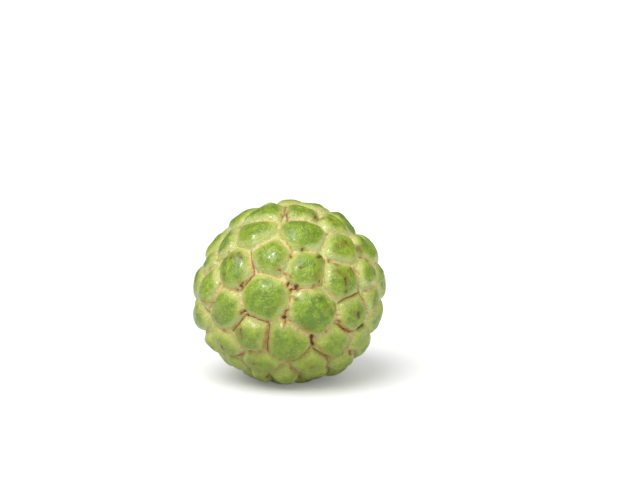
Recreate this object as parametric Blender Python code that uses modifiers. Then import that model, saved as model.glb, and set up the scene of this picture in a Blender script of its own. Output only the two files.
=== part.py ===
# A sugar apple, the knobbly green custard apple, as picked: the fruit and the stub of its stalk.
# Metres, +Z up. The fruit stands on its lowest carpels, whose flattened tips lie round the origin.

import math

import bmesh
import bpy
import numpy as np
from mathutils import Vector, noise

MM = 0.001
noise.seed_set(7)  # so that noise_vector gives the same in each run

# The body, measured over the tips of its carpels.
WIDTH = 80.4 * MM
DEPTH = 79.0 * MM
HEIGHT_ABOVE_MIDDLE = 38.4 * MM
REACH_BELOW_MIDDLE = 38.9 * MM
MIDDLE_HEIGHT = 37.0 * MM  # of the body's middle, above what it rests on
SAG_LIMIT = 37.9 * MM  # how far below the middle its own weight lets a tip reach
SAG_SHARPNESS = 60
MEAN_RADIUS = 38.0 * MM

# The front view that the layout of the carpels is read in, from a little above.
VIEW_ELEVATION = math.radians(12)
LIMB = 0.985  # share of the radius at which a carpel on the outline sits

# Carpels that face the viewer, row by row from the top, in millimetres:
# right of the body's middle, above it, and the carpel's radius.
FRONT_CARPELS = (
    (10.7, 37.9, 5.0),
    (-10.9, 32.9, 7.0),
    (6.0, 32.6, 7.0),
    (17.7, 28.5, 6.0),
    (-14.1, 25.6, 8.0),
    (6.2, 23.9, 9.7),
    (-28.5, 19.5, 6.0),
    (21.2, 17.7, 7.8),
    (31.5, 17.1, 6.5),
    (-7.7, 14.8, 7.7),
    (-33.7, 13.0, 5.5),
    (-22.9, 9.8, 7.6),
    (6.9, 9.5, 8.3),
    (31.8, 7.2, 6.3),
    (21.5, 4.9, 8.5),
    (38.2, 4.9, 6.0),
    (-33.2, 2.5, 6.5),
    (-10.9, -2.5, 9.2),
    (33.5, -3.0, 5.5),
    (-25.8, -7.4, 7.8),
    (9.8, -9.2, 9.8),
    (26.2, -9.5, 7.2),
    (-36.1, -10.6, 6.7),
    (34.7, -12.4, 6.0),
    (-16.5, -18.2, 7.6),
    (27.9, -19.1, 5.0),
    (-31.7, -21.2, 5.5),
    (-25.0, -21.5, 5.5),
    (-0.7, -21.5, 9.0),
    (18.6, -21.5, 7.5),
    (30.6, -22.6, 4.5),
    (21.8, -28.8, 5.5),
    (-22.0, -29.6, 4.5),
    (-12.7, -29.9, 7.0),
    (8.9, -30.2, 7.0),
    (-2.8, -34.9, 5.3),
)

# Gentle unevenness of the body, in the same view, in millimetres:
# right of the middle, above it, how far it swells or sinks, and how wide it spreads.
SWELLINGS = (
    (-37.0, -13.0, 1.6, 11.0),
    (-30.0, 20.0, -2.3, 13.0),
    (27.5, 26.5, -2.2, 6.0),
    (24.0, -30.0, 0.8, 9.0),
    (34.0, 17.0, 0.6, 9.0),
    (-3.0, -35.0, 1.2, 6.0),
    (10.0, -36.0, -1.2, 7.0),
)

# The stem end leans back. The flower end, opposite, has the smallest carpels.
STEM_LEAN = math.radians(32)
STEM_TURN = math.radians(6)
PIT_DEPTH = 4.6 * MM
PIT_SPREAD = 8.5 * MM
SEAT_RADIUS = 4.4 * MM  # bare floor of the pit, round the stalk
SEAT_BLEND = 3.0 * MM
SEAT_LEVEL = 30.6 * MM  # of that floor, from the body's middle

# Carpels that the front view doesn't show.
STEM_RING = 6
STEM_RING_RADIUS = 11.2 * MM
STEM_CARPEL = 6.0 * MM
REST_RING = 6
REST_RING_RADIUS = 9.6 * MM
REST_CARPEL = 4.9 * MM
TIP_CARPEL = 4.7 * MM
BELLY_CARPEL = 7.6 * MM
TIP_ZONE = (math.radians(22), math.radians(75))
GOLDEN_ANGLE = math.pi * (3 - math.sqrt(5))
SPIRAL_LOOSENESS = 1.1  # room each carpel of the spiral takes, over its own disc
CROWDING = 0.83  # a carpel nearer a fixed one than this share of their radii is left out
SETTLING_ROUNDS = 14
SETTLING_SAMPLES = 4000

# The relief of one carpel: a pillow with a rounded shoulder and a domed crown.
RISE_SHARE = 0.32
RISE_BASE = 0.5 * MM
FLATTENING_UPWARDS = 0.22
SHOULDER_FALL = 2.3
SHOULDER_ROUND = 0.62
SEAM_HALF_WIDTH = 0.45 * MM
CORNER_ROUNDING = 1.3 * MM
SEAM_WANDER = 0.9 * MM
SEAM_WANDER_SCALE = 11.0 * MM
LEAST_REACH = 1.0 * MM

# Mesh of the fruit: the cuts across each face of a 320-sided ball.
BALL_CUTS = 5
SNAP_SHARE = 0.3  # a vertex nearer a seam than this share of an edge moves onto it
SNAP_ROUNDS = 6
ON_SEAM = 0.1 * MM

# The stub of the stalk, turned about its own axis: (radius, height) from the foot up.
STALK_PROFILE = (
    (0.0, 0.0),
    (3.5, 0.0),
    (3.6, 0.5),
    (2.9, 1.3),
    (2.45, 2.6),
    (2.5, 4.2),
    (2.85, 5.3),
    (2.6, 5.75),
    (0.0, 5.9),
)
STALK_STEPS = 24
STALK_GAP = 0.3 * MM

SKIN_GREEN = (0.385, 0.440, 0.105)
STALK_BROWN = (0.150, 0.095, 0.050)


def clear_scene():
    for thing in list(bpy.data.objects):
        bpy.data.objects.remove(thing, do_unlink=True)


def plain_material(name, colour, roughness):
    material = bpy.data.materials.new(name)
    material.use_nodes = True
    shader = material.node_tree.nodes["Principled BSDF"]
    shader.inputs["Base Color"].default_value = (*colour, 1.0)
    shader.inputs["Roughness"].default_value = roughness
    shader.inputs["Metallic"].default_value = 0.0
    return material


def unit(vectors):
    return vectors / np.linalg.norm(vectors, axis=-1, keepdims=True)


def from_view(right, up):
    """The direction of what shows this far right of and above the middle, in millimetres."""
    across, above = right * MM / MEAN_RADIUS, up * MM / MEAN_RADIUS
    out = math.hypot(across, above)
    if out > LIMB:
        across, above = across * LIMB / out, above * LIMB / out
    toward = math.sqrt(1 - across * across - above * above)
    lift, dip = math.cos(VIEW_ELEVATION), math.sin(VIEW_ELEVATION)
    return np.array([across, above * dip - toward * lift, above * lift + toward * dip])


def stem_direction():
    lean = math.sin(STEM_LEAN)
    return np.array([lean * math.sin(STEM_TURN), lean * math.cos(STEM_TURN), math.cos(STEM_LEAN)])


def ring_about(axis, radius, count, first_turn=0.0):
    """Directions evenly spaced in a ring round an axis, this far from it over the skin."""
    side = unit(np.cross(axis, [1.0, 0.0, 0.0]))
    other = np.cross(axis, side)
    away = radius / MEAN_RADIUS
    turns = first_turn + 2 * math.pi * np.arange(count) / count
    spokes = np.outer(np.cos(turns), side) + np.outer(np.sin(turns), other)
    return math.cos(away) * axis + math.sin(away) * spokes


def spiral_carpels(tip):
    """Carpels on a golden-angle spiral from the flower end, growing towards the belly."""
    side = unit(np.cross(tip, [1.0, 0.0, 0.0]))
    other = np.cross(tip, side)
    found, radii, height, turn = [], [], 1.0, 0.0
    while height > -1.0:
        away = math.acos(height)
        grown = np.interp(away, TIP_ZONE, (TIP_CARPEL, BELLY_CARPEL))
        out = math.sin(away)
        found.append(height * tip + out * (math.cos(turn) * side + math.sin(turn) * other))
        radii.append(grown)
        height -= SPIRAL_LOOSENESS * grown**2 / (2 * MEAN_RADIUS**2)
        turn += GOLDEN_ANGLE
    return np.array(found), np.array(radii)


def even_directions(count):
    heights = 1 - (2 * np.arange(count) + 1) / count
    turns = GOLDEN_ANGLE * np.arange(count)
    out = np.sqrt(1 - heights**2)
    return np.stack([out * np.cos(turns), out * np.sin(turns), heights], axis=1)


def lay_out_carpels():
    """Directions and radii of all carpels: those seen, those it stands on, and a settled rest."""
    stem, down = stem_direction(), np.array([0.0, 0.0, -1.0])
    seen = [from_view(right, up) for right, up, _ in FRONT_CARPELS]
    centres = np.vstack(
        [
            seen,
            down,
            ring_about(down, REST_RING_RADIUS, REST_RING, 0.5),
            ring_about(stem, STEM_RING_RADIUS, STEM_RING),
        ]
    )
    radii = np.concatenate(
        [
            [radius * MM for _, _, radius in FRONT_CARPELS],
            np.full(1 + REST_RING, REST_CARPEL),
            np.full(STEM_RING, STEM_CARPEL),
        ]
    )
    fixed = len(centres)
    for centre, radius in zip(*spiral_carpels(-stem)):
        near_pit = MEAN_RADIUS * np.linalg.norm(centre - stem) < STEM_RING_RADIUS
        gaps = MEAN_RADIUS * np.linalg.norm(centres[:fixed] - centre, axis=1)
        if not near_pit and (gaps > CROWDING * (radii[:fixed] + radius)).all():
            centres = np.vstack([centres, centre])
            radii = np.append(radii, radius)
    samples = even_directions(SETTLING_SAMPLES)
    for _ in range(SETTLING_ROUNDS):
        owner = power_distances(samples, centres, radii).argmin(axis=1)
        for index in range(fixed, len(centres)):
            centres[index] = unit(samples[owner == index].mean(axis=0))
    return centres, radii


def power_distances(directions, centres, radii):
    """Squared distance from each point of the mean ball to each carpel, less its radius squared."""
    apart = 2 - 2 * directions @ centres.T
    return apart * MEAN_RADIUS**2 - radii**2


def wander(directions):
    """Directions shifted a little by smooth noise, so that seams aren't straight."""
    shifts = [noise.noise_vector(Vector(d) * (MEAN_RADIUS / SEAM_WANDER_SCALE)) for d in directions]
    return unit(directions + np.array(shifts) * (SEAM_WANDER / MEAN_RADIUS))


def seams(directions, centres, radii):
    """For each direction: its carpel, and how far inside that carpel's seams it lies, exactly
    and with the corners rounded, and the way to the nearest seam."""
    power = power_distances(wander(directions), centres, radii)
    everyone = np.arange(len(directions))
    owner = power.argmin(axis=1)
    between = MEAN_RADIUS * np.linalg.norm(centres[:, None] - centres[None], axis=2)
    np.fill_diagonal(between, 1.0)
    inside = (power - power[everyone, owner][:, None]) / (2 * between[owner])
    inside[everyone, owner] = np.inf
    neighbour = inside.argmin(axis=1)
    nearest = inside[everyone, neighbour]
    crowd = np.exp((nearest[:, None] - inside) / CORNER_ROUNDING).sum(axis=1)
    rounded = nearest - CORNER_ROUNDING * np.log(crowd)
    return owner, nearest, rounded, unit(centres[neighbour] - centres[owner])


def envelope(directions):
    """Distance from the middle to the tips of the carpels in each direction."""
    reach = np.where(directions[:, 2] < 0, REACH_BELOW_MIDDLE, HEIGHT_ABOVE_MIDDLE)
    axes = np.stack([np.full(len(reach), WIDTH / 2), np.full(len(reach), DEPTH / 2), reach], axis=1)
    out = 1 / np.linalg.norm(directions / axes, axis=1)
    for right, up, height, spread in SWELLINGS:
        away = MEAN_RADIUS * np.linalg.norm(directions - from_view(right, up), axis=1)
        out += height * MM * np.exp(-((away / (spread * MM)) ** 2))
    pit = MEAN_RADIUS * np.linalg.norm(directions - stem_direction(), axis=1)
    out -= PIT_DEPTH * np.exp(-((pit / PIT_SPREAD) ** 2))
    below = np.maximum(-directions[:, 2] * out, 0)
    return out * (1 + (below / SAG_LIMIT) ** SAG_SHARPNESS) ** (-1 / SAG_SHARPNESS)


def fruit_radius(directions, centres, radii):
    """Distance from the middle to the skin in each direction, carpels and seams included."""
    owner, _, rounded, _ = seams(directions, centres, radii)
    reach = carpel_reach(owner, rounded, len(centres))
    rise = (RISE_BASE + RISE_SHARE * radii) * (1 - FLATTENING_UPWARDS * centres[:, 2])
    power = power_distances(directions, centres, radii)
    share = np.exp((power.min(axis=1)[:, None] - power) / (radii.mean() ** 2))
    valley = envelope(directions) - (share @ rise) / share.sum(axis=1)
    depth = np.clip((rounded - SEAM_HALF_WIDTH) / reach[owner], 0, 1)
    pillow = (1 - (1 - depth) ** SHOULDER_FALL) ** SHOULDER_ROUND
    skin = valley + rise[owner] * pillow
    pit = MEAN_RADIUS * np.linalg.norm(directions - stem_direction(), axis=1)
    bare = np.clip((pit - SEAT_RADIUS) / SEAT_BLEND, 0, 1)
    bare = bare * bare * (3 - 2 * bare)
    return SEAT_LEVEL + (skin - SEAT_LEVEL) * bare


def carpel_reach(owner, rounded, count):
    """How far the middle of each carpel lies inside its seams."""
    reach = np.full(count, LEAST_REACH)
    np.maximum.at(reach, owner, rounded)
    return reach - SEAM_HALF_WIDTH


def ball_with_seams(centres, radii):
    """A fine ball whose vertices near a seam lie on it, so that the grooves come out sharp."""
    ball = bmesh.new()
    bmesh.ops.create_icosphere(ball, subdivisions=3, radius=1.0)
    bmesh.ops.subdivide_edges(ball, edges=ball.edges[:], cuts=BALL_CUTS, use_grid_fill=True)
    ball.verts.index_update()
    directions = unit(np.array([vertex.co for vertex in ball.verts]))
    triangle = 4 * math.pi * MEAN_RADIUS**2 / len(ball.faces)
    spacing = math.sqrt(4 * triangle / math.sqrt(3))
    ends = np.array([[vertex.index for vertex in edge.verts] for edge in ball.edges])
    for _ in range(SNAP_ROUNDS):
        owner, nearest, _, way = seams(directions, centres, radii)
        onto = nearest < SNAP_SHARE * spacing
        crossing = (owner[ends[:, 0]] != owner[ends[:, 1]]) & (nearest[ends] > ON_SEAM).all(axis=1)
        closer = nearest[ends[crossing]].argmin(axis=1)
        onto[ends[crossing][np.arange(crossing.sum()), closer]] = True
        directions[onto] += way[onto] * nearest[onto, None] / MEAN_RADIUS
        directions = unit(directions)
    return ball, directions


def build_fruit(collection, centres, radii, material):
    ball, directions = ball_with_seams(centres, radii)
    skin = directions * fruit_radius(directions, centres, radii)[:, None]
    for vertex, place in zip(ball.verts, skin):
        vertex.co = Vector(place) + Vector((0, 0, MIDDLE_HEIGHT))
    bmesh.ops.bisect_plane(
        ball,
        geom=ball.verts[:] + ball.edges[:] + ball.faces[:],
        dist=1e-6,
        plane_co=(0, 0, 0),
        plane_no=(0, 0, -1),
        clear_outer=True,
    )
    bmesh.ops.holes_fill(ball, edges=[edge for edge in ball.edges if edge.is_boundary])
    bmesh.ops.recalc_face_normals(ball, faces=ball.faces[:])
    mesh = bpy.data.meshes.new("fruit")
    ball.to_mesh(mesh)
    ball.free()
    mesh.shade_smooth()
    mesh.materials.append(material)
    fruit = bpy.data.objects.new("fruit", mesh)
    collection.objects.link(fruit)
    return fruit


def build_stalk(collection, material):
    """The cut stub of the stalk, on the bare floor of the pit."""
    mesh = bpy.data.meshes.new("stalk")
    points = [(radius * MM, 0.0, height * MM) for radius, height in reversed(STALK_PROFILE)]
    mesh.from_pydata(points, [(i, i + 1) for i in range(len(points) - 1)], [])
    mesh.materials.append(material)
    stalk = bpy.data.objects.new("stalk", mesh)
    collection.objects.link(stalk)
    turn = stalk.modifiers.new("turned", "SCREW")
    turn.steps = turn.render_steps = STALK_STEPS
    turn.use_merge_vertices = True
    turn.merge_threshold = 0.01 * MM
    turn.use_smooth_shade = True
    stem = Vector(stem_direction())
    stalk.rotation_euler = stem.to_track_quat("Z", "Y").to_euler()
    stalk.location = stem * (SEAT_LEVEL + STALK_GAP) + Vector((0, 0, MIDDLE_HEIGHT))
    return stalk


def main():
    clear_scene()
    collection = bpy.data.collections.new("custard_apple")
    bpy.context.scene.collection.children.link(collection)
    centres, radii = lay_out_carpels()
    build_fruit(collection, centres, radii, plain_material("skin", SKIN_GREEN, 0.45))
    build_stalk(collection, plain_material("stalk", STALK_BROWN, 0.8))
    print(len(centres), "carpels")


main()
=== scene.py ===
# A sugar apple, the knobbly green custard apple: its rind, and the stub of stalk in the pit at its top.

import math

import bmesh
import bpy
import numpy as np
from mathutils import Euler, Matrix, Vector, noise


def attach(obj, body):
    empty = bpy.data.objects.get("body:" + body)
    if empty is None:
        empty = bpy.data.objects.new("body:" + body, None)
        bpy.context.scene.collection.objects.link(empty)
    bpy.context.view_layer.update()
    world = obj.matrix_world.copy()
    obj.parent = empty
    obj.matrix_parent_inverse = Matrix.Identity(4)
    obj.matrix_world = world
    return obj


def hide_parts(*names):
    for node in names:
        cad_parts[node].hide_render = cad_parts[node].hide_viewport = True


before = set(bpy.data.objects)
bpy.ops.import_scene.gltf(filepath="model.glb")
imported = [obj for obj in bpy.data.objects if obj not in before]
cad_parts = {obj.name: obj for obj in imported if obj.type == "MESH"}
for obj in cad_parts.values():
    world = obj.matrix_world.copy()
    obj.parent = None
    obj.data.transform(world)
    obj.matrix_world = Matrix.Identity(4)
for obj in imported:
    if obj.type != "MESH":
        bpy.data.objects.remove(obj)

mm = 0.001  # shapes are worked out in millimetres, and meshes are made in metres
noise.seed_set(7)  # so that noise_vector gives the same in each run
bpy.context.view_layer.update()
print("frame loaded:", ", ".join(sorted(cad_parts)))


# The body, measured over the tips of its carpels.
body = {
    "width": 80.4,
    "depth": 79.0,
    "aboveMiddle": 38.4,
    "belowMiddle": 38.9,
    "middleHeight": 37.0,
    "sagLimit": 37.9,  # how far below the middle its own weight lets a tip reach
    "sagSharpness": 60,
    "meanRadius": 38.0,
    # right of the middle and above it, as the camera sees it, then height and spread
    "swellings": [
        (-37.0, -13.0, 1.6, 11.0),
        (-30.0, 20.0, -2.3, 13.0),
        (27.5, 26.5, -2.2, 6.0),
        (24.0, -30.0, 0.8, 9.0),
        (34.0, 17.0, 0.6, 9.0),
        (-3.0, -35.0, 1.2, 6.0),
        (10.0, -36.0, -1.2, 7.0),
    ],
    "stemLean": math.radians(32),
    "stemTurn": math.radians(6),
    "pitDepth": 4.6,
    "pitSpread": 8.5,
    "seatRadius": 4.4,  # bare floor of the pit, round the stalk
    "seatBlend": 3.0,
    "seatLevel": 30.6,
}

# Where the carpels lie. Those that the camera sees are listed row by row from the top:
# right of the body's middle, above it, and the carpel's radius.
layout = {
    "viewElevation": math.radians(12),
    "limb": 0.985,  # share of the radius at which a carpel on the outline sits
    "seen": [
        (10.7, 37.9, 5.0),
        (-10.9, 32.9, 7.0),
        (6.0, 32.6, 7.0),
        (17.7, 28.5, 6.0),
        (-14.1, 25.6, 8.0),
        (6.2, 23.9, 9.7),
        (-28.5, 19.5, 6.0),
        (21.2, 17.7, 7.8),
        (31.5, 17.1, 6.5),
        (-7.7, 14.8, 7.7),
        (-33.7, 13.0, 5.5),
        (-22.9, 9.8, 7.6),
        (7.6, 10.2, 8.0),
        (31.8, 7.2, 6.3),
        (21.5, 4.9, 8.5),
        (38.2, 4.9, 6.0),
        (-33.2, 2.5, 6.5),
        (-10.9, -2.5, 9.2),
        (33.5, -3.0, 5.5),
        (-25.8, -7.4, 7.8),
        (9.8, -9.2, 9.8),
        (26.2, -9.5, 7.2),
        (-36.1, -10.6, 6.7),
        (34.7, -12.4, 6.0),
        (-16.5, -18.2, 7.6),
        (27.9, -19.1, 5.0),
        (-31.7, -21.2, 5.5),
        (-25.0, -21.5, 5.5),
        (-0.7, -21.5, 9.0),
        (18.6, -21.5, 7.5),
        (30.6, -22.6, 4.5),
        (21.8, -28.8, 5.5),
        (-22.0, -29.6, 4.5),
        (-12.7, -29.9, 7.0),
        (8.9, -30.2, 7.0),
        (-2.8, -34.9, 5.3),
    ],
    "stemRing": {"count": 6, "radius": 11.2, "size": 6.0},
    "restRing": {"count": 6, "radius": 9.6, "size": 4.9, "turn": 0.5},
    "tipSize": 4.7,
    "bellySize": 7.6,
    "tipZone": (math.radians(22), math.radians(75)),
    "looseness": 1.1,
    "crowding": 0.83,  # a carpel nearer a fixed one than this share of their radii is left out
    "settlingRounds": 14,
    "settlingSamples": 4000,
}
goldenAngle = math.pi * (3 - math.sqrt(5))

# The relief: each carpel is a pillow with a rounded shoulder and a domed crown.
relief = {
    "riseShare": 0.38,
    "riseBase": 0.5,
    "flatteningUpwards": 0.22,
    "shoulderFall": 2.3,
    "shoulderRound": 0.82,
    "seamHalfWidth": 0.12,
    "seamVariation": (20.0, 0.95, 2.9),  # noise that widens seams: size across, height and shift
    # where the seams have opened wider: right, above, extra half width and spread
    "openings": [
        (-8.0, 21.0, 0.9, 8.0),
        (-20.0, 13.0, 0.5, 8.0),
        (0.0, 29.0, 0.5, 6.0),
        (1.0, 4.5, 1.2, 5.0),
        (-13.0, -10.0, 0.3, 5.0),
        (5.0, -17.0, 0.3, 5.0),
    ],
    "cornerRounding": 0.95,
    # how far seams stray from the shortest lines, and the size of their bends
    "seamWander": ((0.9, 11.0), (0.32, 3.1)),
    "leastReach": 1.0,
    "ballCuts": 23,  # 320 faces, each cut 24 by 24
    "snapShare": 0.3,  # a vertex nearer a seam than this share of the spacing is moved onto it
    "snapRounds": 6,
    "onSeam": 0.02,
    # noise on the skin: size across, height and shift
    "carpelNoise": [(7.0, 0.60, 0.0), (2.8, 0.16, 3.7), (1.4, 0.07, 9.1)],
    "seamNoise": [(1.1, 0.16, 5.3)],
    "crackDepth": 0.55,
    "crackSpread": 0.45,
    # pits and specks sink from a lip this far outside the mark's edge
    "pitLip": 0.35,
    "pitSlope": 0.9,
    "speckLip": 0.25,
    "speckDepth": 0.12,
    # dents that give single carpels their own form: right, above, depth and spread
    "dents": [
        (13.8, -3.4, 0.85, 1.7),
        (14.4, -6.4, 0.75, 1.8),
        (13.6, -9.6, 0.40, 1.8),
        (21.4, 1.8, 0.35, 1.6),
        (-14.0, -5.5, 0.25, 2.6),
        (-20.3, -14.2, 0.30, 1.4),
        (6.4, 21.0, 0.35, 3.0),
        (-13.0, 27.5, 0.35, 3.0),
    ],
}

# Seen carpels, counted from 0 down the list above, whose shared seam has cracked brown.
crackedPairs = [
    (14, 21), (21, 29), (21, 25), (29, 34), (29, 31), (24, 28), (16, 22), (9, 11), (1, 2), (13, 14),
    (11, 17), (17, 24), (19, 24), (8, 13), (26, 27), (28, 34), (18, 21),
]
crackShare = 0.3  # of the seams that the camera doesn't see

# Marks that the camera sees, each a short stroke: its two ends, right and above, then its half width.
marks = {
    # on the carpels, with how dark the mark is
    "specks": [
        (-26.5, 14.1, -26.5, 14.1, 0.50, 0.7),
        (-25.9, 12.8, -25.9, 12.8, 0.42, 0.6),
        (-22.6, 13.0, -22.6, 13.0, 0.54, 0.6),
        (-20.1, 15.3, -20.1, 15.3, 0.42, 0.5),
        (-19.2, 13.6, -19.2, 13.6, 0.54, 0.5),
        (-25.1, 6.8, -25.1, 6.8, 0.42, 0.5),
        (4.2, 9.3, 4.2, 9.3, 0.50, 0.6),
        (10.5, 30.6, 10.5, 30.6, 0.50, 0.7),
        (12.0, 26.8, 12.0, 26.8, 0.67, 0.3),
        (16.6, 28.7, 16.6, 28.7, 0.58, 0.4),
        (5.3, 17.4, 5.3, 17.4, 0.58, 0.9),
        (11.4, 13.4, 12.4, 14.4, 0.50, 1.0),
        (12.4, 14.4, 13.2, 13.6, 0.50, 1.0),
        (18.5, 10.8, 19.4, 10.6, 0.33, 0.8),
        (21.9, 18.9, 21.9, 18.9, 0.54, 0.7),
        (18.8, 17.6, 18.8, 17.6, 0.63, 0.3),
        (28.1, 17.7, 29.0, 16.3, 0.67, 0.4),
        (19.0, 8.1, 19.6, 6.7, 0.42, 0.6),
        (21.3, 5.0, 21.4, 2.3, 0.50, 1.0),
        (21.9, 0.0, 21.9, 0.0, 0.58, 0.8),
        (24.4, 9.0, 24.8, 6.9, 0.38, 0.6),
        (26.4, -8.3, 26.5, -10.2, 0.63, 0.75),
        (28.3, -14.6, 29.8, -13.3, 0.62, 0.9),
        (18.0, -5.2, 18.6, -6.9, 0.42, 0.3),
        (2.9, -3.1, 2.9, -3.1, 0.42, 0.7),
        (8.5, -29.7, 8.5, -29.7, 0.42, 0.7),
        (-28.3, -10.4, -28.3, -10.4, 0.33, 0.5),
        (-26.3, -21.3, -25.7, -22.3, 0.50, 0.9),
        (-19.5, -14.9, -19.5, -14.9, 0.62, 0.8),
        (-19.0, -16.0, -18.5, -17.7, 0.42, 0.5),
        (-14.2, -28.1, -14.2, -28.1, 0.58, 0.5),
    ],
    # olive stains on the carpels, with how strong each is
    "stains": [
        (-20.6, -15.6, -19.8, -19.0, 1.3, 0.9),
        (10.4, 30.8, 14.0, 30.0, 1.6, 0.8),
        (5.5, 33.0, 8.0, 32.0, 1.2, 0.4),
        (25.6, -8.6, 26.2, -10.0, 1.3, 0.8),
        (28.4, -13.6, 29.6, -13.0, 1.0, 0.6),
        (21.2, 5.4, 21.6, 2.0, 1.5, 0.9),
        (24.4, 9.4, 25.4, 7.2, 1.0, 0.5),
        (17.6, 7.6, 18.6, 6.4, 1.1, 0.5),
        (28.4, 17.4, 29.0, 16.0, 1.5, 0.7),
        (20.6, 18.8, 22.6, 18.0, 1.4, 0.6),
        (13.6, 12.6, 12.4, 14.6, 1.2, 0.6),
        (10.8, 7.0, 12.6, 8.6, 1.6, 0.4),
        (-22.0, 13.4, -19.4, 14.2, 1.3, 0.7),
        (-26.6, 13.4, -25.6, 11.0, 1.0, 0.6),
        (-24.9, 5.4, -24.0, 6.6, 1.0, 0.3),
        (14.6, -6.6, 16.4, -8.6, 1.3, 0.5),
        (7.0, -14.6, 9.0, -15.6, 1.3, 0.4),
        (-28.6, -9.8, -27.6, -11.4, 1.2, 0.4),
        (-26.6, -21.2, -25.2, -23.0, 1.1, 0.7),
        (-12.6, -30.4, -15.2, -29.0, 1.3, 0.6),
        (7.6, -29.0, 9.6, -30.6, 1.2, 0.5),
        (0.6, -25.6, 1.8, -26.6, 1.0, 0.4),
        (20.0, -21.4, 21.0, -22.6, 1.0, 0.3),
    ],
    # in the seams: pits and cracks
    "pits": [
        (-20.0, 2.5, -19.0, 3.8, 0.54),
        (-3.9, 8.7, -3.9, 8.7, 0.42),
        (-1.6, 7.1, -1.6, 7.1, 0.33),
        (0.1, 6.0, 0.1, 6.0, 0.38),
        (-0.5, 3.4, -0.9, 1.7, 0.46),
        (0.6, 0.5, 0.6, 0.5, 0.54),
        (2.7, 2.0, 2.7, 2.0, 0.75),
        (3.3, 0.7, 3.3, 0.7, 0.50),
        (0.7, 0.9, 2.7, 1.5, 0.42),
        (-0.5, 2.0, 0.8, 3.0, 0.21),
        (-19.5, -8.7, -18.4, -8.0, 0.54),
        (-17.9, -10.0, -17.9, -10.0, 0.38),
        (-1.3, -7.9, -1.9, -10.2, 0.42),
        (-2.3, -11.1, -2.3, -11.1, 0.83),
        (-2.1, -12.7, -2.1, -14.4, 0.29),
        (9.2, -19.4, 9.7, -23.1, 0.92),
        (11.5, -22.3, 15.4, -27.0, 0.25),
        (15.4, -27.0, 15.6, -30.6, 0.29),
        (20.2, -12.3, 20.2, -12.3, 0.46),
        (20.3, -13.4, 22.5, -15.4, 0.21),
        (22.5, -15.4, 25.7, -17.0, 0.29),
        (24.3, -25.3, 24.3, -25.3, 0.58),
        (-9.5, -12.8, -9.5, -12.8, 0.50),
        (-9.0, -13.5, -10.0, -20.2, 0.08),
        (-10.0, -20.2, -11.3, -23.5, 0.17),
        (-21.9, -26.7, -19.7, -26.0, 0.42),
        (10.0, 2.3, 10.0, 2.3, 0.38),
        (11.9, 4.4, 12.3, 2.7, 0.33),
        (16.6, 12.3, 16.6, 12.3, 0.50),
        (-15.3, 11.0, -14.9, 6.9, 0.25),
        (16.0, 24.5, 16.0, 24.5, 0.33),
        (0.8, 14.7, 0.8, 14.7, 0.42),
        (-34.2, -3.1, -31.0, -5.1, 0.21),
        (-21.7, 0.5, -21.7, 0.5, 0.33),
        (-1.2, 32.7, -0.8, 29.0, 0.33),
    ],
    # on the carpels that the camera doesn't see, by rule: chance, range of half widths, and how far they
    # stray from the tip, as a share of the carpel's radius
    "unseenSpecks": [(0.75, (0.30, 0.62), 0.15), (0.45, (0.25, 0.50), 0.6), (0.45, (0.25, 0.50), 0.6)],
    "unseenStains": [(0.65, (0.9, 1.7), 0.35)],
    "unseenLength": 0.5,
    "unseenTone": (0.3, 0.9),
    "speckSeed": 7,
    "stainSeed": 11,
    "junctionPitChance": 0.30,
    "junctionPitSize": 1.1,
    "far": 5.0,  # distances to a mark are kept up to this
    "wander": 0.55,
    "bends": ((1.0, 2.3), (0.45, 0.8)),  # share of the wander, and size
    "taper": (1.2, 0.6),  # share of its half width that a stroke has at its two ends
}


def unit(vectors):
    return vectors / np.linalg.norm(vectors, axis=-1, keepdims=True)


# The direction, from the body's middle, of what the camera sees this far right of and above it.
def fromView(right, up):
    across, above = right / body["meanRadius"], up / body["meanRadius"]
    out = math.hypot(across, above)
    if out > layout["limb"]:
        across, above = across * layout["limb"] / out, above * layout["limb"] / out
    toward = math.sqrt(1 - across * across - above * above)
    lift, dip = math.cos(layout["viewElevation"]), math.sin(layout["viewElevation"])
    return np.array([across, above * dip - toward * lift, above * lift + toward * dip])


def stemDirection():
    lean = math.sin(body["stemLean"])
    turn = body["stemTurn"]
    return np.array([lean * math.sin(turn), lean * math.cos(turn), math.cos(body["stemLean"])])


# Directions in a ring about an axis, this many millimetres from it.
def ringAbout(axis, radius, count, turn=0.0):
    side = unit(np.cross(axis, [1.0, 0.0, 0.0]))
    other = np.cross(axis, side)
    away = radius / body["meanRadius"]
    turns = turn + 2 * math.pi * np.arange(count) / count
    spokes = np.outer(np.cos(turns), side) + np.outer(np.sin(turns), other)
    return math.cos(away) * axis + math.sin(away) * spokes


# Carpels on a golden-angle spiral from the flower end, growing towards the belly.
def spiralCarpels(tip):
    side = unit(np.cross(tip, [1.0, 0.0, 0.0]))
    other = np.cross(tip, side)
    found, sizes, height, turn = [], [], 1.0, 0.0
    while height > -1.0:
        away = math.acos(height)
        grown = np.interp(away, layout["tipZone"], (layout["tipSize"], layout["bellySize"]))
        out = math.sin(away)
        found.append(height * tip + out * (math.cos(turn) * side + math.sin(turn) * other))
        sizes.append(grown)
        height -= layout["looseness"] * grown**2 / (2 * body["meanRadius"] ** 2)
        turn += goldenAngle
    return np.array(found), np.array(sizes)


# Directions spread evenly all round.
def evenDirections(count):
    heights = 1 - (2 * np.arange(count) + 1) / count
    turns = goldenAngle * np.arange(count)
    out = np.sqrt(1 - heights**2)
    return np.stack([out * np.cos(turns), out * np.sin(turns), heights], axis=1)


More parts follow.
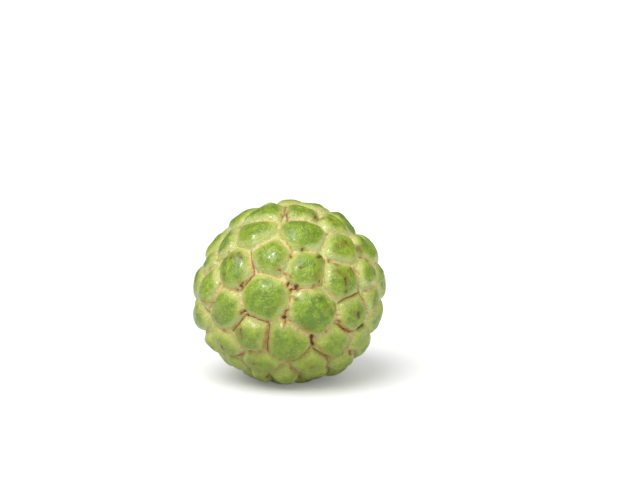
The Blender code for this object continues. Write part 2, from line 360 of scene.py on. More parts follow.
# The carpels' directions and radii. Those not fixed by the layout settle in the middle of their cells.
def layOutCarpels():
    stem, down = stemDirection(), np.array([0.0, 0.0, -1.0])
    rest, top = layout["restRing"], layout["stemRing"]
    seen = [fromView(right, up) for right, up, _ in layout["seen"]]
    restRing = ringAbout(down, rest["radius"], rest["count"], rest["turn"])
    stemRing = ringAbout(stem, top["radius"], top["count"])
    centres = np.vstack([seen, down, restRing, stemRing])
    sizes = [size for _, _, size in layout["seen"]]
    sizes += [rest["size"]] * (1 + rest["count"]) + [top["size"]] * top["count"]
    sizes = np.array(sizes)
    fixed = len(centres)
    for centre, size in zip(*spiralCarpels(-stem)):
        nearPit = body["meanRadius"] * np.linalg.norm(centre - stem) < top["radius"]
        gaps = body["meanRadius"] * np.linalg.norm(centres[:fixed] - centre, axis=1)
        if not nearPit and (gaps > layout["crowding"] * (sizes[:fixed] + size)).all():
            centres = np.vstack([centres, centre])
            sizes = np.append(sizes, size)
    samples = evenDirections(layout["settlingSamples"])
    for _ in range(layout["settlingRounds"]):
        owner = powerDistances(samples, centres, sizes).argmin(axis=1)
        for index in range(fixed, len(centres)):
            centres[index] = unit(samples[owner == index].mean(axis=0))
    return centres, sizes


# Squared distance from each point of the mean ball to each carpel, less the carpel's radius squared.
def powerDistances(directions, centres, sizes):
    apart = 2 - 2 * directions @ centres.T
    return apart * body["meanRadius"] ** 2 - sizes**2


# Directions strayed by smooth noise, so that the seams bend.
def wander(directions):
    strayed = directions
    for stray, size in relief["seamWander"]:
        shifts = [noise.noise_vector(Vector(d) * (body["meanRadius"] / size)) for d in directions]
        strayed = strayed + np.array(shifts) * (stray / body["meanRadius"])
    return unit(strayed)


# How each direction lies to the seams: its carpel and the two neighbours nearest to it, how far it is
# inside their seams, the same with corners rounded, and the way to the nearest seam.
def seamsAt(directions, centres, sizes):
    power = powerDistances(wander(directions), centres, sizes)
    everyone = np.arange(len(directions))
    owner = power.argmin(axis=1)
    between = body["meanRadius"] * np.linalg.norm(centres[:, None] - centres[None], axis=2)
    np.fill_diagonal(between, 1.0)
    inside = (power - power[everyone, owner][:, None]) / (2 * between[owner])
    inside[everyone, owner] = np.inf
    nearTwo = np.argpartition(inside, 1, axis=1)[:, :2]
    distances = np.take_along_axis(inside, nearTwo, axis=1)
    swap = distances[:, 0] > distances[:, 1]
    nearTwo[swap], distances[swap] = nearTwo[swap][:, ::-1], distances[swap][:, ::-1]
    nearest = distances[:, 0]
    crowd = np.exp((nearest[:, None] - inside) / relief["cornerRounding"]).sum(axis=1)
    rounded = nearest - relief["cornerRounding"] * np.log(crowd)
    way = unit(centres[nearTwo[:, 0]] - centres[owner])
    return {"owner": owner, "nearTwo": nearTwo, "distances": distances, "rounded": rounded, "way": way}


# Distance from the middle to the tips of the carpels in each direction.
def envelope(directions):
    reach = np.where(directions[:, 2] < 0, body["belowMiddle"], body["aboveMiddle"])
    wide, deep = np.full(len(reach), body["width"] / 2), np.full(len(reach), body["depth"] / 2)
    out = 1 / np.linalg.norm(directions / np.stack([wide, deep, reach], axis=1), axis=1)
    for right, up, height, spread in body["swellings"]:
        out += height * bell(directions, fromView(right, up), spread)
    out -= body["pitDepth"] * bell(directions, stemDirection(), body["pitSpread"])
    below = np.maximum(-directions[:, 2] * out, 0)
    sharp = body["sagSharpness"]
    return out * (1 + (below / body["sagLimit"]) ** sharp) ** (-1 / sharp)


# 1 at a place on the body, fading to 0 round it.
def bell(directions, centre, spread):
    away = body["meanRadius"] * np.linalg.norm(directions - centre, axis=1)
    return np.exp(-((away / spread) ** 2))


# Half the width of the valley floor between carpels.
def seamHalfWidths(directions):
    size, height, shift = relief["seamVariation"]
    extra = height * noiseAt(directions * body["meanRadius"], size, shift)
    for right, up, more, spread in relief["openings"]:
        extra += more * bell(directions, fromView(right, up), spread)
    return relief["seamHalfWidth"] + np.maximum(extra, 0)


# The skin's distance from the middle, how far up its carpel's pillow each place is, and how far from
# the stalk.
def skinRadius(directions, centres, sizes, seams):
    owner, inside = seams["owner"], seams["rounded"] - seams["halfWidth"]
    reach = np.full(len(centres), relief["leastReach"])
    np.maximum.at(reach, owner, inside)
    rise = relief["riseBase"] + relief["riseShare"] * sizes
    rise *= 1 - relief["flatteningUpwards"] * centres[:, 2]
    power = powerDistances(directions, centres, sizes)
    share = np.exp((power.min(axis=1)[:, None] - power) / sizes.mean() ** 2)
    valley = envelope(directions) - (share @ rise) / share.sum(axis=1)
    depth = np.clip(inside / reach[owner], 0, 1)
    pillow = (1 - (1 - depth) ** relief["shoulderFall"]) ** relief["shoulderRound"]
    skin = valley + rise[owner] * pillow
    away = body["meanRadius"] * np.linalg.norm(directions - stemDirection(), axis=1)
    bare = np.clip((away - body["seatRadius"]) / body["seatBlend"], 0, 1)
    bare = bare * bare * (3 - 2 * bare)
    return body["seatLevel"] + (skin - body["seatLevel"]) * bare, pillow * bare, away


# Smooth noise from -1 to 1 at each place, of this size across.
def noiseAt(places, size, shift):
    return np.array([noise.noise(Vector(place) / size + Vector((shift, shift, shift))) for place in places])


# A number from 0 to 1 that belongs to these whole numbers, whatever their order: the usual sine hash.
def hashed(*numbers):
    mixed = sum(np.sin(np.asarray(number) * 12.9898 + 4.1) * 43758.5453 for number in numbers)
    return mixed - np.floor(mixed)


# How far each place's nearest seam has cracked, from 0 to 1.
def crackedAt(owner, neighbour):
    unseen = np.clip(hashed(owner, neighbour) - 1 + crackShare, 0, 0.1) * 10
    first, second = np.minimum(owner, neighbour), np.maximum(owner, neighbour)
    listed = np.isin(first * 1000 + second, [low * 1000 + high for low, high in crackedPairs])
    return np.where(second < len(layout["seen"]), listed, unseen)


# Distance to the nearest of these strokes, less its half width, and how dark that stroke is.
def strokeField(places, strokes):
    bends = 0
    for share, size in marks["bends"]:
        bends = bends + share * np.array([noise.noise_vector(Vector(place) / size) for place in places])
    places = places + marks["wander"] * bends
    field = np.full(len(places), marks["far"])
    dark = np.zeros(len(places))
    for first, last, halfWidth, tone in strokes:
        along = last - first
        share = np.clip((places - first) @ along / max(along @ along, 1e-9), 0, 1)
        tapered = halfWidth * np.interp(share, (0, 1), marks["taper"])
        away = np.linalg.norm(places - first - share[:, None] * along, axis=1) - tapered
        closer = away < field
        field[closer] = away[closer]
        dark[closer] = tone
    return field, dark


# A listed mark as a stroke on the body.
def seenStroke(row):
    ends = [body["meanRadius"] * fromView(*row[index : index + 2]) for index in (0, 2)]
    return (*ends, row[4], row[5] if len(row) > 5 else 1.0)


# Marks on the carpels that the camera doesn't see.
def unseenStrokes(centres, sizes, kinds, seed):
    draw = np.random.default_rng(seed)
    strokes = []
    for centre, size in list(zip(centres, sizes))[len(layout["seen"]) :]:
        for chance, wide, spread in kinds:
            shift = draw.normal(0, spread * size, 3)
            stretch = draw.normal(0, marks["unseenLength"], 3)
            halfWidth = draw.uniform(*wide)
            tone = draw.uniform(*marks["unseenTone"])
            if draw.random() < chance:
                first = body["meanRadius"] * unit(centre + shift / body["meanRadius"])
                last = body["meanRadius"] * unit(first + stretch)
                strokes.append((first, last, halfWidth, tone))
    return strokes


# A finely cut ball whose vertices near a seam lie on it.
def ballOnSeams(centres, sizes):
    ball = bmesh.new()
    bmesh.ops.create_icosphere(ball, subdivisions=3, radius=1.0)
    bmesh.ops.subdivide_edges(ball, edges=ball.edges[:], cuts=relief["ballCuts"], use_grid_fill=True)
    mesh = bpy.data.meshes.new("rind")
    ball.to_mesh(mesh)
    ball.free()
    directions = np.empty(3 * len(mesh.vertices))
    mesh.vertices.foreach_get("co", directions)
    directions = unit(directions.reshape(-1, 3))
    ends = np.empty(2 * len(mesh.edges), np.int32)
    mesh.edges.foreach_get("vertices", ends)
    ends = ends.reshape(-1, 2)
    triangle = 4 * math.pi * body["meanRadius"] ** 2 / len(mesh.polygons)
    spacing = math.sqrt(4 * triangle / math.sqrt(3))
    for _ in range(relief["snapRounds"]):
        seams = seamsAt(directions, centres, sizes)
        owner, nearest = seams["owner"], seams["distances"][:, 0]
        onto = nearest < relief["snapShare"] * spacing
        apart = (nearest[ends] > relief["onSeam"]).all(axis=1)
        crossing = (owner[ends[:, 0]] != owner[ends[:, 1]]) & apart
        closer = nearest[ends[crossing]].argmin(axis=1)
        onto[ends[crossing][np.arange(crossing.sum()), closer]] = True
        directions[onto] += seams["way"][onto] * nearest[onto, None] / body["meanRadius"]
        directions = unit(directions)
    return mesh, directions


# Puts a number for each vertex on the mesh, for the materials to read.
def giveValues(mesh, values):
    for name, numbers in values.items():
        made = mesh.attributes.new(name, "FLOAT", "POINT")
        made.data.foreach_set("value", np.asarray(numbers, np.float32))


def showPiece(mesh, material):
    mesh.shade_smooth()
    mesh.materials.append(material)
    piece = bpy.data.objects.new(mesh.name, mesh)
    bpy.context.scene.collection.objects.link(piece)
    print(mesh.name, "made:", len(mesh.polygons), "faces")
    return piece


# How far each place is from a pit where three carpels meet, on the sides that the camera doesn't see.
def junctionPits(seams, fromStem):
    owner, nearTwo, seenCount = seams["owner"], seams["nearTwo"], len(layout["seen"])
    inView = (owner < seenCount) & (nearTwo < seenCount).all(axis=1)
    chance = hashed(owner, nearTwo[:, 0], nearTwo[:, 1])
    size = marks["junctionPitSize"] * (1 - chance / marks["junctionPitChance"])
    size = np.where(inView | (fromStem < body["pitSpread"]), -marks["far"], size)
    return np.hypot(*seams["distances"].T) - np.clip(size, -marks["far"], None)


# How far each place is from the marks, and how dark those are.
def markFields(places, centres, sizes, seams, fromStem):
    specks = [seenStroke(row) for row in marks["specks"]]
    specks += unseenStrokes(centres, sizes, marks["unseenSpecks"], marks["speckSeed"])
    stains = [seenStroke(row) for row in marks["stains"]]
    stains += unseenStrokes(centres, sizes, marks["unseenStains"], marks["stainSeed"])
    speck, speckDark = strokeField(places, specks)
    stain, stainDark = strokeField(places, stains)
    pit, _ = strokeField(places, [seenStroke(row) for row in marks["pits"]])
    pit = np.minimum(pit, junctionPits(seams, fromStem))
    return {"speck": speck, "speckDark": speckDark, "stain": stain, "stainDark": stainDark, "pit": pit}


# The skin's distance from the middle, with its finer relief: noise, dents, cracks, pits and specks.
def roughen(out, directions, pillow, fields):
    places = directions * body["meanRadius"]
    for share, layers in ((pillow, relief["carpelNoise"]), (1 - pillow, relief["seamNoise"])):
        for size, height, shift in layers:
            out = out + height * share * noiseAt(places, size, shift)
    for right, up, depth, spread in relief["dents"]:
        out = out - depth * bell(directions, fromView(right, up), spread)
    alongSeam = np.exp(-((fields["seamLine"] / relief["crackSpread"]) ** 2))
    out = out - relief["crackDepth"] * fields["cracked"] * alongSeam
    out = out - relief["pitSlope"] * np.clip(relief["pitLip"] - fields["pit"], 0, 1)
    return out - relief["speckDepth"] * np.clip(2 * (relief["speckLip"] - fields["speck"]), 0, 1)


def makeRind(material):
    centres, sizes = layOutCarpels()
    print(len(centres), "carpels laid out")
    mesh, directions = ballOnSeams(centres, sizes)
    seams = seamsAt(directions, centres, sizes)
    seams["halfWidth"] = seamHalfWidths(directions)
    out, pillow, fromStem = skinRadius(directions, centres, sizes, seams)
    owner, places = seams["owner"], directions * body["meanRadius"]
    fields = {
        "seam": seams["rounded"] - seams["halfWidth"],
        "seamLine": seams["distances"][:, 0],
        "cracked": crackedAt(owner, seams["nearTwo"][:, 0]),
        "carpelDraw": hashed(owner),
        "highSide": (directions - centres[owner])[:, 2] * body["meanRadius"] / sizes[owner],
        **markFields(places, centres, sizes, seams, fromStem),
        "fromStem": fromStem,
    }
    out = roughen(out, directions, pillow, fields)
    skin = directions * out[:, None] + [0, 0, body["middleHeight"]]
    skin[:, 2] = np.maximum(skin[:, 2], 0)  # the tips that it stands on are pressed flat
    mesh.vertices.foreach_set("co", (skin * mm).ravel())
    giveValues(mesh, fields)
    return showPiece(mesh, material)


# Links a socket to another, or sets it to a number or a colour.
def feed(tree, socket, value):
    if isinstance(value, bpy.types.NodeSocket):
        tree.links.new(value, socket)
    elif isinstance(value, tuple) and len(value) == 3 and socket.type == "RGBA":
        socket.default_value = (*value, 1.0)
    else:
        socket.default_value = value


def calc(tree, operation, first, second=0.0):
    node = tree.nodes.new("ShaderNodeMath")
    node.operation = operation
    feed(tree, node.inputs[0], first)
    feed(tree, node.inputs[1], second)
    return node.outputs[0]


# 0 at start and beyond, 1 at end and beyond, easing between.
def ease(tree, value, start, end):
    node = tree.nodes.new("ShaderNodeMapRange")
    node.interpolation_type = "SMOOTHSTEP"
    feed(tree, node.inputs["Value"], value)
    feed(tree, node.inputs["From Min"], start)
    feed(tree, node.inputs["From Max"], end)
    return node.outputs["Result"]


# From the first of two numbers where the value is 0 to the second where it is 1.
def between(tree, value, ends):
    scaled = calc(tree, "MULTIPLY_ADD", value, ends[1] - ends[0])
    scaled.node.inputs[2].default_value = ends[0]
    return scaled


def over(tree, factor, base, top):
    node = tree.nodes.new("ShaderNodeMix")
    node.data_type = "RGBA"
    feed(tree, node.inputs[0], factor)
    feed(tree, node.inputs[6], base)
    feed(tree, node.inputs[7], top)
    return node.outputs[2]


# Lays a colour over another by this share of a mask.
def lay(tree, mask, share, base, top):
    return over(tree, calc(tree, "MULTIPLY", mask, share), base, top)


def meshValue(tree, name):
    node = tree.nodes.new("ShaderNodeAttribute")
    node.attribute_name = name
    return node.outputs["Fac"]


def ownPlace(tree):
    return tree.nodes.new("ShaderNodeTexCoord").outputs["Object"]


def noiseValue(tree, scale, detail=2.0, place=None):
    node = tree.nodes.new("ShaderNodeTexNoise")
    feed(tree, node.inputs["Vector"], place or ownPlace(tree))
    feed(tree, node.inputs["Scale"], scale)
    feed(tree, node.inputs["Detail"], detail)
    return node.outputs["Fac"]


# Pattern scales are in repeats a metre, so this turns a size in millimetres into one.
def scaleOf(size):
    return 1 / (size * mm)


# A mask of soft clouds. Its form is their size, and the noise at which it starts and at which it is whole.
def cloudMask(tree, form, detail=2.0):
    size, start, end = form
    return ease(tree, noiseValue(tree, scaleOf(size), detail), start, end)


def newMaterial(name):
    material = bpy.data.materials.new(name)
    material.use_nodes = True
    return material, material.node_tree, material.node_tree.nodes["Principled BSDF"]


def newGroup(name, inputs, outputs):
    group = bpy.data.node_groups.new(name, "ShaderNodeTree")
    for label, kind, value in inputs:
        socket = group.interface.new_socket(label, in_out="INPUT", socket_type="NodeSocket" + kind)
        socket.default_value = value
    for label, kind in outputs:
        group.interface.new_socket(label, in_out="OUTPUT", socket_type="NodeSocket" + kind)
    return group, group.nodes.new("NodeGroupInput").outputs, group.nodes.new("NodeGroupOutput").inputs


def placeGroup(tree, group, values):
    node = tree.nodes.new("ShaderNodeGroup")
    node.node_tree = group
    for label, value in values.items():
        feed(tree, node.inputs[label], value)
    return node.outputs


# Two colours in soft clouds.
def mottleGroup():
    group, given, made = newGroup(
        "mottle",
        [
            ("Dark", "Color", (0.2, 0.2, 0.2, 1)),
            ("Light", "Color", (0.6, 0.6, 0.6, 1)),
            ("Scale", "Float", 100.0),
            ("Low", "Float", 0.35),
            ("High", "Float", 0.65),
        ],
        [("Color", "Color"), ("Mask", "Float")],
    )
    clouds = ease(group, noiseValue(group, given["Scale"], 3.0), given["Low"], given["High"])
    feed(group, made["Color"], over(group, clouds, given["Dark"], given["Light"]))
    feed(group, made["Mask"], clouds)
    return group


# A mask that is 1 where a distance is under an edge, with the edge frayed by noise.
def frayedGroup():
    group, given, made = newGroup(
        "frayedEdge",
        [
            ("Distance", "Float", 0.0),
            ("Edge", "Float", 1.0),
            ("Softness", "Float", 0.3),
            ("Fray", "Float", 0.3),
            ("Scale", "Float", 500.0),
        ],
        [("Mask", "Float")],
    )
    centred = calc(group, "SUBTRACT", noiseValue(group, given["Scale"], 3.0), 0.5)
    frayed = calc(group, "MULTIPLY", centred, calc(group, "MULTIPLY", given["Fray"], 2.0))
    distance = calc(group, "ADD", given["Distance"], frayed)
    outer = calc(group, "ADD", given["Edge"], given["Softness"])
    inner = calc(group, "SUBTRACT", given["Edge"], given["Softness"])
    feed(group, made["Mask"], ease(group, distance, outer, inner))
    return group


# The height of a pebbled surface: rounded cells with finer grain on them.
def pebbleGroup():
    group, given, made = newGroup(
        "pebbles",
        [("Scale", "Float", 900.0), ("Grain", "Float", 0.4)],
        [("Height", "Float")],
    )
    cells = group.nodes.new("ShaderNodeTexVoronoi")
    cells.feature = "SMOOTH_F1"
    feed(group, cells.inputs["Vector"], ownPlace(group))
    feed(group, cells.inputs["Scale"], given["Scale"])
    cells.inputs["Smoothness"].default_value = 0.6
    rounded = calc(group, "SUBTRACT", 1.0, cells.outputs["Distance"])
    finer = noiseValue(group, calc(group, "MULTIPLY", given["Scale"], 2.7), 2.0)
    feed(group, made["Height"], calc(group, "ADD", rounded, calc(group, "MULTIPLY", finer, given["Grain"])))
    return group


mottle = mottleGroup()
frayed = frayedGroup()
pebbles = pebbleGroup()


# Two colours in soft clouds, whose form is as for cloudMask.
def mottled(tree, dark, light, form):
    size, low, high = form
    return placeGroup(tree, mottle, {
        "Dark": dark, "Light": light, "Scale": scaleOf(size), "Low": low, "High": high,
    })["Color"]


# A mask of what is within a distance. Its form is the edge, its softness, its fraying and the fraying's size.
def frayedMask(tree, distance, form):
    edge, softness, fray, size = form
    return placeGroup(tree, frayed, {
        "Distance": distance, "Edge": edge, "Softness": softness, "Fray": fray, "Scale": scaleOf(size),
    })["Mask"]


# A pebbled surface. Its form is the pebbles' size and height, and how much grain they have.
def pebbledNormal(tree, form):
    size, height, grain = form
    bump = tree.nodes.new("ShaderNodeBump")
    pebbled = placeGroup(tree, pebbles, {"Scale": scaleOf(size), "Grain": grain})["Height"]
    feed(tree, bump.inputs["Height"], pebbled)
    bump.inputs["Distance"].default_value = height * mm
    return bump.outputs["Normal"]


# The rind's finish. Colours are linear, and sizes are in millimetres.
rindFinish = {
    "deepGreen": (0.078, 0.162, 0.002),
    "freshGreen": (0.182, 0.292, 0.006),
    "yellowGreen": (0.362, 0.430, 0.018),
    "fleckAndPebbleLight": (0.500, 0.570, 0.120),
    "bloom": (0.400, 0.480, 0.240),
    # painted shade: a darker green and a darker seam colour for the low part of the fruit, standing in for
    # the shade under it
    "shadedLowGreen": (0.195, 0.235, 0.006),
    "shadedLowSeam": (0.200, 0.125, 0.030),
    "rim": (0.495, 0.515, 0.135),
    "cream": (0.640, 0.510, 0.220),
    "pale": (0.520, 0.530, 0.250),
    "tan": (0.390, 0.240, 0.085),
    "rust": (0.400, 0.190, 0.050),
    "crack": (0.150, 0.062, 0.020),
    "pitDark": (0.046, 0.022, 0.006),
    # pale flecks and dark pores: partly the skin's own speckle, partly painted highlight and painted shade of
    # its pebbled surface
    "pitRed": (0.225, 0.095, 0.036),
    "olive": (0.180, 0.155, 0.008),
    "speckDark": (0.042, 0.040, 0.003),
    # clouds: size, and the noise at which they start and at which they are whole
    "patches": (4.5, 0.40, 0.60),
    "clouds": (1.6, 0.35, 0.70),
    "fleckAndPebbleLightClouds": (1.1, 0.56, 0.70),
    "poresAndPebbleShade": (1.7, 0.44, 0.32),
    "bloomClouds": (4.0, 0.42, 0.60),
    "seamClouds": (2.4, 0.34, 0.52),
    "paleClouds": (5.0, 0.50, 0.62),
    "wideClouds": (7.0, 0.36, 0.62),
    "pitClouds": (0.9, 0.48, 0.66),
    "dullClouds": (1.5, 0.3, 0.7),
    # edges: distance, softness, fraying and its size
    "rimEdge": (1.9, 1.7, 1.9, 3.2),
    "bloomEdge": (1.9, 0.9, 0.9, 2.2),
    "seamEdge": (0.35, 0.80, 1.8),  # its distance is from seamWidths
    "crackRimEdge": (0.42, 0.42, 0.6, 1.8),
    "crackEdge": (0.16, 0.16, 0.26, 1.8),
    "stainEdge": (0.1, 1.0, 1.3, 2.2),
    "haloEdge": (0.7, 0.8, 0.6, 1.6),
    "speckEdge": (0.0, 0.38, 0.40, 0.9),
    "rustEdge": (0.65, 0.65, 0.8, 1.4),
    "pitEdge": (-0.05, 0.22, 0.35, 0.9),
    "scarEdge": (body["seatRadius"] + 0.6, 0.6, 0.8, 2.5),
    # how much of each layer shows over what lies below it
    "fleckAndPebbleLightShare": 0.38,
    "poreAndPebbleShadeShare": 0.5,
    "lowShadeShare": 0.50,
    "rimShare": 0.80,
    "rimLostInLowShade": 0.40,
    "bloomShare": 0.65,
    "paleShare": 0.8,
    "lowSeamShadeShare": 0.65,
    "seamShare": 0.9,
    "crackRimShare": 0.55,
    "crackShare": 0.85,
    "stainShare": 0.8,
    "haloShare": 0.5,
    "rustShare": 0.60,
    "pitShare": 0.9,
    "yellowness": (0.15, 0.65),  # of the least and the most yellow carpel
    "lowShadeHeights": (34.0, 5.0),  # painted shade: the rind darkens to olive from the first of these heights down to the second, standing in for the shade under the fruit
    "lowSide": (0.3, -0.7),  # bloom comes between these heights on a carpel: from its tip, in its radii
    "seamWidths": (0.25, 1.05),  # half width of the cream line, where it is thin and where it is wide
    "pebbles": (0.80, 0.38, 0.5),  # size, height and grain
    "roughness": (0.32, 0.50),
    "dullRoughness": 0.7,  # of seams and specks, which have no waxy coat
    "coat": 0.30,
    "coatRoughness": 0.20,
    "shine": 0.45,
    "translucence": 0.12,
    "lightReach": (1.0, 0.9, 0.3),
    "lightScale": 2.0,
}


def makeRindMaterial(look):
    material, tree, shader = newMaterial("rindSkin")
    seam, seamLine, cracked = meshValue(tree, "seam"), meshValue(tree, "seamLine"), meshValue(tree, "cracked")

    # greens of the carpels
    patches = mottled(tree, look["deepGreen"], look["freshGreen"], look["patches"])
    clouds = mottled(tree, look["freshGreen"], look["yellowGreen"], look["clouds"])
    green = over(tree, between(tree, meshValue(tree, "carpelDraw"), look["yellowness"]), patches, clouds)
    # pale flecks and dark pores: partly the skin's own speckle, partly painted highlight and painted shade of
    # the pebbles
    green = lay(tree, cloudMask(tree, look["fleckAndPebbleLightClouds"], 3.0), look["fleckAndPebbleLightShare"], green, look["fleckAndPebbleLight"])
    green = lay(tree, cloudMask(tree, look["poresAndPebbleShade"]), look["poreAndPebbleShadeShare"], green, look["deepGreen"])

    # painted shade: the rind darkens towards the bottom, in place of the shade under the fruit
    height = tree.nodes.new("ShaderNodeSeparateXYZ")
    feed(tree, height.inputs[0], ownPlace(tree))
    lowShadeMask = ease(tree, height.outputs["Z"], look["lowShadeHeights"][0] * mm, look["lowShadeHeights"][1] * mm)
    green = lay(tree, lowShadeMask, look["lowShadeShare"], green, look["shadedLowGreen"])

    # paler towards the seams, with a dull bloom in patches on the low side of each carpel
    # painted shade: the pale rims fade out low down on the fruit
    rimLostToShade = calc(tree, "MULTIPLY", lowShadeMask, look["rimLostInLowShade"])
    rimShare = calc(tree, "SUBTRACT", look["rimShare"], rimLostToShade)
    green = lay(tree, frayedMask(tree, seam, look["rimEdge"]), rimShare, green, look["rim"])
    lowSide = ease(tree, meshValue(tree, "highSide"), *look["lowSide"])
    bloomMask = calc(tree, "MULTIPLY", lowSide, cloudMask(tree, look["bloomClouds"]))
    bloomMask = calc(tree, "MULTIPLY", frayedMask(tree, seam, look["bloomEdge"]), bloomMask)
    green = lay(tree, bloomMask, look["bloomShare"], green, look["bloom"])

    # cream seams, tan and cracked in places
    seamColour = mottled(tree, look["tan"], look["cream"], look["seamClouds"])
    seamColour = lay(tree, cloudMask(tree, look["paleClouds"]), look["paleShare"], seamColour, look["pale"])
    # painted shade: the seams darken low down on the fruit
    seamColour = lay(tree, lowShadeMask, look["lowSeamShadeShare"], seamColour, look["shadedLowSeam"])
    seamWidth = between(tree, cloudMask(tree, look["wideClouds"]), look["seamWidths"])
    seamMask = frayedMask(tree, seamLine, (seamWidth, *look["seamEdge"]))
    colour = lay(tree, seamMask, look["seamShare"], green, seamColour)
    crackRim = calc(tree, "MULTIPLY", frayedMask(tree, seamLine, look["crackRimEdge"]), cracked)
    colour = lay(tree, crackRim, look["crackRimShare"], colour, look["rust"])
    crackMask = calc(tree, "MULTIPLY", frayedMask(tree, seamLine, look["crackEdge"]), cracked)
    colour = lay(tree, crackMask, look["crackShare"], colour, look["crack"])

    # stains and specks on the carpels, pits in the seams
    stainMask = frayedMask(tree, meshValue(tree, "stain"), look["stainEdge"])
    stainMask = calc(tree, "MULTIPLY", stainMask, meshValue(tree, "stainDark"))
    colour = lay(tree, stainMask, look["stainShare"], colour, look["olive"])
    speck, pit = meshValue(tree, "speck"), meshValue(tree, "pit")
    colour = lay(tree, frayedMask(tree, speck, look["haloEdge"]), look["haloShare"], colour, look["olive"])
    speckMask = frayedMask(tree, speck, look["speckEdge"])
    colour = lay(tree, speckMask, meshValue(tree, "speckDark"), colour, look["speckDark"])
    colour = lay(tree, frayedMask(tree, pit, look["rustEdge"]), look["rustShare"], colour, look["rust"])
    pitColour = mottled(tree, look["pitDark"], look["pitRed"], look["pitClouds"])
    colour = lay(tree, frayedMask(tree, pit, look["pitEdge"]), look["pitShare"], colour, pitColour)

    # the corky scar round the stalk
    scarMask = frayedMask(tree, meshValue(tree, "fromStem"), look["scarEdge"])
    feed(tree, shader.inputs["Base Color"], over(tree, scarMask, colour, look["tan"]))

    dull = calc(tree, "MAXIMUM", seamMask, speckMask)
    roughness = between(tree, cloudMask(tree, look["dullClouds"]), look["roughness"])
    dullRoughness = calc(tree, "MULTIPLY", dull, look["dullRoughness"])
    feed(tree, shader.inputs["Roughness"], calc(tree, "MAXIMUM", roughness, dullRoughness))
    waxy = calc(tree, "SUBTRACT", 1.0, dull)
    feed(tree, shader.inputs["Coat Weight"], calc(tree, "MULTIPLY", waxy, look["coat"]))
    shader.inputs["Coat Roughness"].default_value = look["coatRoughness"]
    shader.inputs["Specular IOR Level"].default_value = look["shine"]
    shader.inputs["Subsurface Weight"].default_value = look["translucence"]
    shader.inputs["Subsurface Radius"].default_value = look["lightReach"]
    shader.inputs["Subsurface Scale"].default_value = look["lightScale"] * mm
    feed(tree, shader.inputs["Normal"], pebbledNormal(tree, look["pebbles"]))
    return material


# The stub of the stalk, turned about its own axis and roughened like bark. Outline from the foot up:
# radius and height, in millimetres. Its foot sinks into the floor of the pit.
stub = {
    "outline": [(3.5, -0.7), (3.6, 0.4), (2.95, 1.3), (2.48, 2.6), (2.52, 4.2), (2.86, 5.3), (2.62, 5.75)],
    "gap": 0.3,  # height 0 of the outline is this far above the floor of the pit
    "around": 72,
    "upward": 30,
    "rings": 9,
    "ridges": 0.16,
    "ridgeScale": (3.0, 0.5),  # round the stub and up it
    "fineShare": 0.6,
    "fineScale": (2.2, 1.6),
    "top": 5.85,
    "bark": (0.160, 0.105, 0.055),
    "barkDark": (0.060, 0.038, 0.020),
    "cut": (0.420, 0.320, 0.180),
    "barkClouds": (1.2, 0.35, 0.65),
    "cutClouds": (0.7, 0.3, 0.6),
    "cutEdge": (0.1, 0.1, 0.1, 0.8),
    "pebbles": (0.5, 0.12, 0.8),
    "roughness": 0.82,
}


def makeStubMaterial(look):
    material, tree, shader = newMaterial("stubBark")
    bark = mottled(tree, look["barkDark"], look["bark"], look["barkClouds"])
    wood = mottled(tree, look["bark"], look["cut"], look["cutClouds"])
    cutMask = frayedMask(tree, meshValue(tree, "fromCut"), look["cutEdge"])
    feed(tree, shader.inputs["Base Color"], over(tree, cutMask, bark, wood))
    shader.inputs["Roughness"].default_value = look["roughness"]
    feed(tree, shader.inputs["Normal"], pebbledNormal(tree, look["pebbles"]))
    return material


def makeStub(material):
    heights = np.array([height for _, height in stub["outline"]])
    radii = np.array([radius for radius, _ in stub["outline"]])
    levels = np.linspace(heights[0], heights[-1], stub["upward"])
    ridgeRound, ridgeUp = stub["ridgeScale"]
    fineRound, fineUp = stub["fineScale"]
    build = bmesh.new()
    loops = []
    cutShares = [1 - (index + 1) / stub["rings"] for index in range(stub["rings"] - 1)]
    rows = [(np.interp(level, heights, radii), level, 1.0) for level in levels]
    rows += [(radii[-1] * share, stub["top"], 0.0) for share in cutShares]
    for radius, level, onSide in rows:
        loop = []
        for step in range(stub["around"]):
            turn = 2 * math.pi * step / stub["around"]
            across, deep = math.cos(turn), math.sin(turn)
            place = Vector((across, deep, 0)) * radius
            ridges = noise.noise(Vector((across * ridgeRound, deep * ridgeRound, level * ridgeUp)))
            fine = noise.noise(Vector((place.x * fineRound, place.y * fineRound, level * fineUp)))
            rough = stub["ridges"] * (ridges + stub["fineShare"] * fine)
            place = place * (1 + onSide * rough / radius) + Vector((0, 0, level + (1 - onSide) * rough))
            loop.append(build.verts.new(place))
        loops.append(loop)
    for lower, upper in zip(loops, loops[1:]):
        for step in range(stub["around"]):
            after = (step + 1) % stub["around"]
            build.faces.new((lower[step], lower[after], upper[after], upper[step]))
    build.faces.new(loops[-1])
    build.faces.new(loops[0][::-1])
    mesh = bpy.data.meshes.new("stub")
    build.to_mesh(mesh)
    build.free()
    places = np.array([vertex.co for vertex in mesh.vertices])
    giveValues(mesh, {"fromCut": stub["top"] - places[:, 2]})
    stem = Vector(stemDirection())
    turned = stem.to_track_quat("Z", "Y").to_matrix()
    foot = stem * (body["seatLevel"] + stub["gap"]) + Vector((0, 0, body["middleHeight"]))
    for vertex in mesh.vertices:
        vertex.co = (turned @ vertex.co + foot) * mm
    return showPiece(mesh, material)


rind = makeRind(makeRindMaterial(rindFinish))
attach(rind, "root")
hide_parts("fruit")

stubPiece = makeStub(makeStubMaterial(stub))
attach(stubPiece, "root")
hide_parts("stalk")


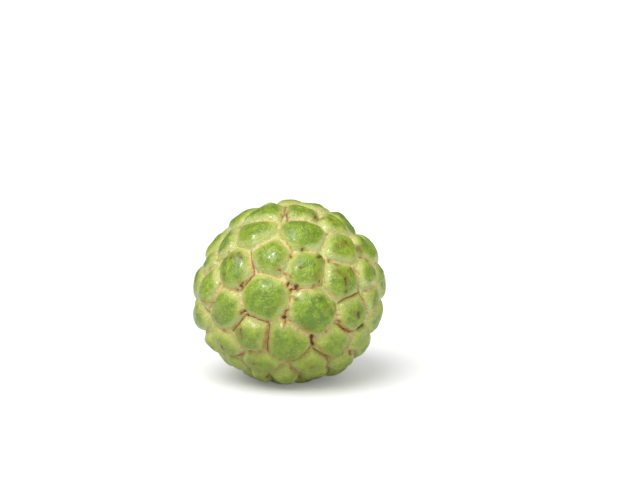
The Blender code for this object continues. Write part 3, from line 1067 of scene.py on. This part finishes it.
# A pale floor, soft studio lights, and the camera a little above the fruit.
studio = {
    "floorSize": 16.0,
    "floorColour": (0.74, 0.74, 0.74),
    "floorGlow": 0.14,  # lifts the shadow, for the camera alone
    "floorRoughness": 0.9,
    "floorShine": 0.2,
    "sky": 0.72,
    "skyInShine": 0.18,  # a darker room, as the rind mirrors it
    # where each sun stands, its strength and spread, and whether it shows in the shine
    "suns": {
        "key": ((-0.38, -0.50, 1.05), 2.60, math.radians(48), True),
        "fill": ((0.55, -1.00, 0.62), 0.75, math.radians(60), False),
    },
    "glintFrom": (-0.40, -0.60, 0.95),  # a small lamp that shows only in the shine
    "glintSize": 0.07,
    "glintPower": 8.0,
    "lens": 100.0,
    "pictureWidth": 640,
    "pictureHeight": 480,
    "middleAt": (289.0, 291.5),  # where the body's middle shows in the picture
    "pixel": 0.4167,  # width of a pixel at the fruit, in millimetres
    "elevation": math.radians(12),
}


def makeFloor():
    bpy.ops.mesh.primitive_plane_add(size=studio["floorSize"])
    floor = bpy.context.object
    floor.name = "floor"
    material, tree, shader = newMaterial("paleFloor")
    shader.inputs["Base Color"].default_value = (*studio["floorColour"], 1.0)
    shader.inputs["Roughness"].default_value = studio["floorRoughness"]
    shader.inputs["Specular IOR Level"].default_value = studio["floorShine"]
    seen = tree.nodes.new("ShaderNodeLightPath").outputs["Is Camera Ray"]
    shader.inputs["Emission Color"].default_value = (1, 1, 1, 1)
    feed(tree, shader.inputs["Emission Strength"], calc(tree, "MULTIPLY", seen, studio["floorGlow"]))
    floor.data.materials.append(material)


def makeLights():
    world = bpy.data.worlds.new("studio")
    world.use_nodes = True
    tree = world.node_tree
    sky = tree.nodes["Background"]
    sky.inputs["Color"].default_value = (1, 1, 1, 1)
    path = tree.nodes.new("ShaderNodeLightPath").outputs
    dimmed = calc(tree, "MULTIPLY", path["Is Glossy Ray"], studio["sky"] - studio["skyInShine"])
    strength = calc(tree, "SUBTRACT", studio["sky"], dimmed)
    feed(tree, sky.inputs["Strength"], calc(tree, "MAXIMUM", strength, path["Is Camera Ray"]))
    bpy.context.scene.world = world
    for name, (place, sunStrength, spread, inShine) in studio["suns"].items():
        sun = bpy.data.lights.new(name, "SUN")
        sun.energy, sun.angle = sunStrength, spread
        hangLight(sun, place).visible_glossy = inShine
    glint = bpy.data.lights.new("glint", "AREA")
    glint.size, glint.energy = studio["glintSize"], studio["glintPower"]
    hangLight(glint, studio["glintFrom"]).visible_diffuse = False


def hangLight(lamp, place):
    light = bpy.data.objects.new(lamp.name, lamp)
    light.location = place
    middle = Vector((0, 0, body["middleHeight"] * mm))
    light.rotation_euler = (middle - Vector(place)).to_track_quat("-Z", "Y").to_euler()
    bpy.context.scene.collection.objects.link(light)
    return light


def makeCamera():
    lens = bpy.data.cameras.new("camera")
    lens.lens = studio["lens"]
    lens.clip_start = 0.01
    camera = bpy.data.objects.new("camera", lens)
    bpy.context.scene.collection.objects.link(camera)
    focal = studio["lens"] / lens.sensor_width * studio["pictureWidth"]
    away = studio["pixel"] * mm * focal
    lift, dip = math.sin(studio["elevation"]), math.cos(studio["elevation"])
    camera.location = Vector((0, -dip, lift)) * away + Vector((0, 0, body["middleHeight"] * mm))
    yaw = math.atan((studio["pictureWidth"] / 2 - studio["middleAt"][0]) / focal)
    pitch = math.atan((studio["middleAt"][1] - studio["pictureHeight"] / 2) / focal)
    camera.rotation_euler = Euler((math.pi / 2 - studio["elevation"] + pitch, 0, -yaw))
    bpy.context.scene.camera = camera


makeFloor()
makeLights()
makeCamera()
bpy.context.scene.view_settings.view_transform = "Standard"
print("studio ready")
